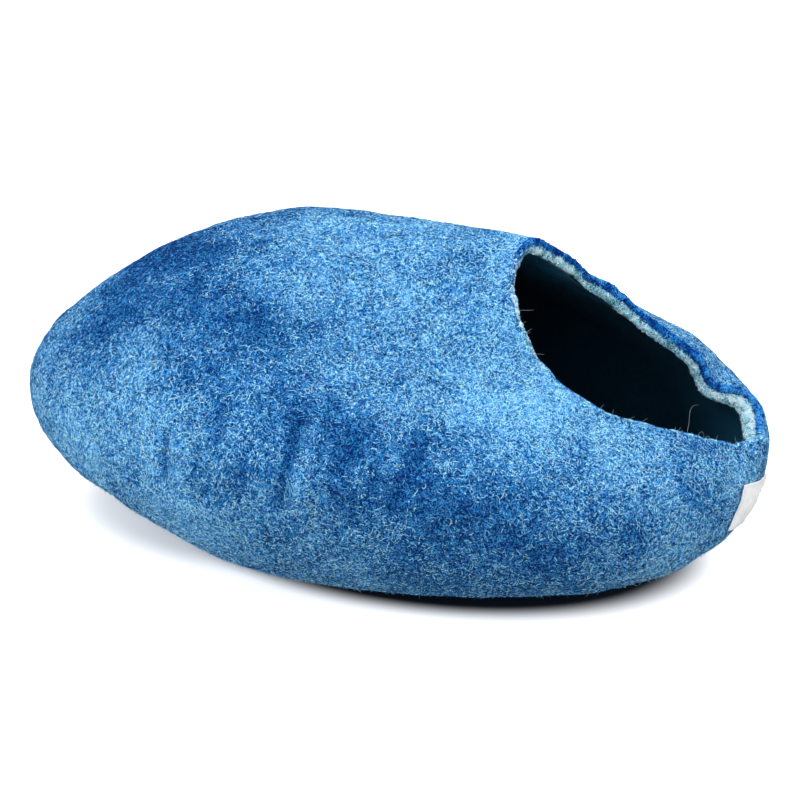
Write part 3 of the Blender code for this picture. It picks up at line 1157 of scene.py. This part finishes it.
def label(wall_object, material):
    """Thin tape lying on the heel, its edges a little raised between the stitches."""
    points, normals = label_grid(wall_object)
    ups = np.linspace(0, 1, LABEL_UP + 1)
    alongs = np.linspace(0, 1, LABEL_ACROSS + 1)
    v, u = np.meshgrid(ups, alongs, indexing="ij")
    border = np.minimum(np.minimum(u, 1 - u) * LABEL_WIDTH, np.minimum(v, 1 - v) * LABEL_HEIGHT) / MM
    waves = uneven(points, LABEL_WAVES, SEED + 50)
    lift = LABEL_LIFT + waves + BORDER_LIFT * np.exp(-border / BORDER_WIDE)
    inside = points + normals * (lift * MM)[..., None]
    outside = inside + normals * LABEL_THICK
    count = inside.shape[0] * inside.shape[1]
    across = LABEL_ACROSS + 1
    faces = []
    for row in range(LABEL_UP):
        for step in range(LABEL_ACROSS):
            a = row * across + step
            quad = (a, a + 1, a + 1 + across, a + across)
            faces.append(tuple(count + corner for corner in quad))
            faces.append(tuple(reversed(quad)))
    edge = list(range(across))
    edge += [row * across + LABEL_ACROSS for row in range(1, LABEL_UP + 1)]
    edge += [LABEL_UP * across + step for step in range(LABEL_ACROSS - 1, -1, -1)]
    edge += [row * across for row in range(LABEL_UP - 1, 0, -1)]
    for here, there in zip(edge, edge[1:] + edge[:1]):
        faces.append((here, there, count + there, count + here))
    grid = np.concatenate([inside.reshape(-1, 3), outside.reshape(-1, 3)])
    return add_mesh("label_tape", grid, faces, [material]), outside, normals


STITCH_LONG = 0.0026
STITCH_APART = 0.0040
STITCH_INSET = 0.0020
STITCH_THICK = 0.00045
STITCH_STEPS = 5


def stitch_ends():
    """Start and end of each stitch, as places along and up the label from its lower corner."""
    low = np.array([STITCH_INSET, STITCH_INSET])
    high = np.array([LABEL_WIDTH, LABEL_HEIGHT]) - STITCH_INSET
    corners = [low, np.array([high[0], low[1]]), high, np.array([low[0], high[1]])]
    ends = []
    for here, there in zip(corners, corners[1:] + corners[:1]):
        side = np.linalg.norm(there - here)
        for number in range(int(side / STITCH_APART)):
            start = here + (there - here) / side * (number + 0.2) * STITCH_APART
            ends.append((start, start + (there - here) / side * STITCH_LONG))
    return ends


def label_stitches(tape, normals, material):
    """Small stitches of white thread round the label, each arched over the tape."""
    paths = []
    for start, end in stitch_ends():
        path = []
        for share in np.linspace(0, 1, STITCH_STEPS):
            along, up = start + (end - start) * share
            row = int(round(up / LABEL_HEIGHT * LABEL_UP))
            step = int(round(along / LABEL_WIDTH * LABEL_ACROSS))
            normal = normals[row, step]
            flow = unit(tape[row, min(step + 1, LABEL_ACROSS)] - tape[row, max(step - 1, 0)])
            rise = unit(np.cross(normal, flow))
            corner = np.array([step / LABEL_ACROSS * LABEL_WIDTH, row / LABEL_UP * LABEL_HEIGHT])
            aside, above = np.array([along, up]) - corner
            arch = STITCH_THICK * (0.1 + 0.5 * math.sin(math.pi * share))
            path.append(tape[row, step] + flow * aside + rise * above + normal * arch)
        paths.append(np.array(path))
    return square_tubes("label_stitches", paths, STITCH_THICK, 1.0, material)


# The stage


CAMERA_TURN = math.radians(12.786)
CAMERA_RISE = math.radians(28.38)
CAMERA_DISTANCE = 1.650
CAMERA_AIM = (0.0051, 0.0, 0.1074)
CAMERA_LENS = 102.6
SENSOR = 36.0
FLOOR_HALF = 8.0
FLOOR_DROP = -0.0004
FLOOR_WHITE = (0.90, 0.90, 0.90)
FLOOR_GLOW = (0.65, 0.65, 0.65)
# Dark colour of the painted contact shadow under the bed
FLOOR_CONTACT_SHADOW = (0.012, 0.016, 0.022)

# Ovals of painted shadow on the floor, the contact shadow under the bed and the shade under its toe:
# centre, half sizes, and the shares of those at which the oval ends and the white floor is reached
CONTACT_SHADOW_OVAL = ((0.034, 0.0), (0.191, 0.106), (0.89, 1.10))
TOE_SHADE_OVAL = ((-0.110, 0.0), (0.120, 0.070), (0.90, 1.35))
# Share of the floor's glow left in the painted shade under the toe
TOE_SHADE_GLOW = 0.35

SKY_ABOVE = 1.00
SKY_BELOW = 0.38
SKY_COLOUR = (0.96, 0.98, 1.0, 1.0)
HORIZON = 0.15

LAMP_COLUMNS = ("name", "place", "aim", "width", "height", "power")
LAMPS = (
    ("overhead", (-0.3, 0.2, 1.6), (0.0, 0.0, 0.10), 1.2, 1.0, 10),
    ("front", (-0.1, -1.6, 1.5), (0.0, 0.0, 0.10), 1.0, 1.0, 10),
    ("toe_side", (-1.3, -1.0, 0.2), (-0.2, 0.0, 0.08), 0.8, 0.4, 6),
    ("heel_side", (1.7, -0.4, 0.6), (0.2, 0.0, 0.10), 0.8, 0.8, 6),
)


def view_back():
    """Unit vector from the bed to the camera."""
    flat = math.cos(CAMERA_RISE)
    return Vector((math.sin(CAMERA_TURN) * flat, -math.cos(CAMERA_TURN) * flat, math.sin(CAMERA_RISE)))


def camera():
    data = bpy.data.cameras.new("camera")
    data.sensor_width = SENSOR
    data.lens = CAMERA_LENS
    data.clip_start = 0.05
    data.clip_end = 60
    eye = bpy.data.objects.new("camera", data)
    bpy.context.scene.collection.objects.link(eye)
    back = view_back()
    eye.location = Vector(CAMERA_AIM) + back * CAMERA_DISTANCE
    eye.rotation_euler = (-back).to_track_quat("-Z", "Y").to_euler()
    bpy.context.scene.camera = eye


def area_light(row):
    data = bpy.data.lights.new(row["name"], "AREA")
    data.shape = "RECTANGLE"
    data.size = row["width"]
    data.size_y = row["height"]
    data.energy = row["power"]
    lamp = bpy.data.objects.new(row["name"], data)
    lamp.location = row["place"]
    lamp.rotation_euler = (Vector(row["aim"]) - lamp.location).to_track_quat("-Z", "Y").to_euler()
    bpy.context.scene.collection.objects.link(lamp)


def oval(place, centre, half_sizes):
    """1 on the rim of an oval on the floor, less inside it and more outside."""
    moved = place.node("ShaderNodeVectorMath", {"operation": "SUBTRACT"}, {0: place, 1: (*centre, 0)})
    shares = (1 / half_sizes[0], 1 / half_sizes[1], 0)
    scaled = place.node("ShaderNodeVectorMath", {"operation": "MULTIPLY"}, {0: moved, 1: shares})
    return place.node("ShaderNodeVectorMath", {"operation": "LENGTH"}, {0: scaled}, "Value")


def floor():
    """White studio floor that glows a little, with painted shadow where the bed rests, dark and without
    glow, and painted shade under its toe, where it glows less.
    """
    material, shader, wire = new_material("white_floor", FLOOR_WHITE, 0.9)
    place = wire.node("ShaderNodeTexCoord", {}, {}, "Object")
    centre, half_sizes, ends = CONTACT_SHADOW_OVAL
    # Painted shadow: the dark contact oval under the bed and the dimmer glow under the toe
    contact_shadow = oval(place, centre, half_sizes).between(*ends)
    centre, half_sizes, ends = TOE_SHADE_OVAL
    toe_shade = oval(place, centre, half_sizes).between(*ends, TOE_SHADE_GLOW, 1.0)
    connect(shader, "Base Color", contact_shadow.blend(FLOOR_CONTACT_SHADOW, FLOOR_WHITE))
    connect(shader, "Emission Color", (contact_shadow * toe_shade).blend((0, 0, 0), FLOOR_GLOW))
    shader.inputs["Emission Strength"].default_value = 1.0
    signs = ((-1, -1), (1, -1), (1, 1), (-1, 1))
    corners = [(x * FLOOR_HALF, y * FLOOR_HALF, FLOOR_DROP) for x, y in signs]
    sheet = add_mesh("floor", corners, [(0, 1, 2, 3)], [material])
    sheet.visible_diffuse = False


def light_and_air():
    """Even white light from above, less of it from below, and four soft lamps."""
    scene = bpy.context.scene
    world = bpy.data.worlds.new("soft_white_room")
    world.use_nodes = True
    wire = Wire(world.node_tree)
    sky = wire.node("ShaderNodeTexCoord", {}, {}, "Generated")
    height = wire.node("ShaderNodeSeparateXYZ", {}, {"Vector": sky}, "Z")
    brightness = height.between(-HORIZON, HORIZON, SKY_BELOW, SKY_ABOVE)
    background = world.node_tree.nodes["Background"]
    background.inputs["Color"].default_value = SKY_COLOUR
    world.node_tree.links.new(brightness.socket, background.inputs["Strength"])
    scene.world = world
    for row in rows(LAMPS, LAMP_COLUMNS):
        area_light(row)
    scene.view_settings.view_transform = "Standard"
    scene.view_settings.look = "None"


# The bed put together


def edge_wools(wool):
    """The three shades of wool, dark to light, of each kind of tuft on the cut edge."""
    aqua = [("dark_aqua_wool", SHADE_TEAL), ("aqua_wool", PALE_AQUA), ("white_aqua_wool", WHITE_AQUA)]
    rim = [("rim_deep_wool", RIM_DEEP), ("rim_bright_wool", RIM_BRIGHT)]
    return {
        "aqua": [wool_shade(name, colour) for name, colour in aqua],
        "rim": [wool_shade(name, colour) for name, colour in rim] + [wool[SOFT]],
        "near": [wool[MID], wool[SOFT], wool[PALE]],
    }


def dress():
    """The wall with its fibres and the label, each attached to the root body, with the solids that they
    dress hidden.
    """
    shades = (DEEP_BLUE, MID_BLUE, VIOLET_BLUE, TEAL_BLUE, SOFT_BLUE, PALE_BLUE)
    wool = [wool_shade(name + "_wool", colour) for name, colour in zip(SHADE_NAMES, shades)]
    edge_wool = edge_wools(wool)
    wall = Wall()
    bed = wall.mesh(felt_material())
    fibres = short_curls(wall, wool)
    fibres.append(standing_fuzz(wall, wool))
    fibres.append(long_curls(wall, wool))
    for row in rows(TUFTS, TUFT_COLUMNS):
        fibres.append(edge_tufts(wall, row, edge_wool[row["wool"]]))
    fibres.append(stray_threads(wool_shade("stray_wool", STRAY_WOOL)))
    tape, tape_top, tape_normals = label(bed, tape_material())
    stitches = label_stitches(tape_top, tape_normals, wool_shade("white_thread", THREAD_WHITE))

    for piece in [bed, tape, stitches, *fibres]:
        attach(piece, "root")
    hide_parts("felt_slipper")
    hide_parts("woven_label")


camera()
floor()
light_and_air()
dress()
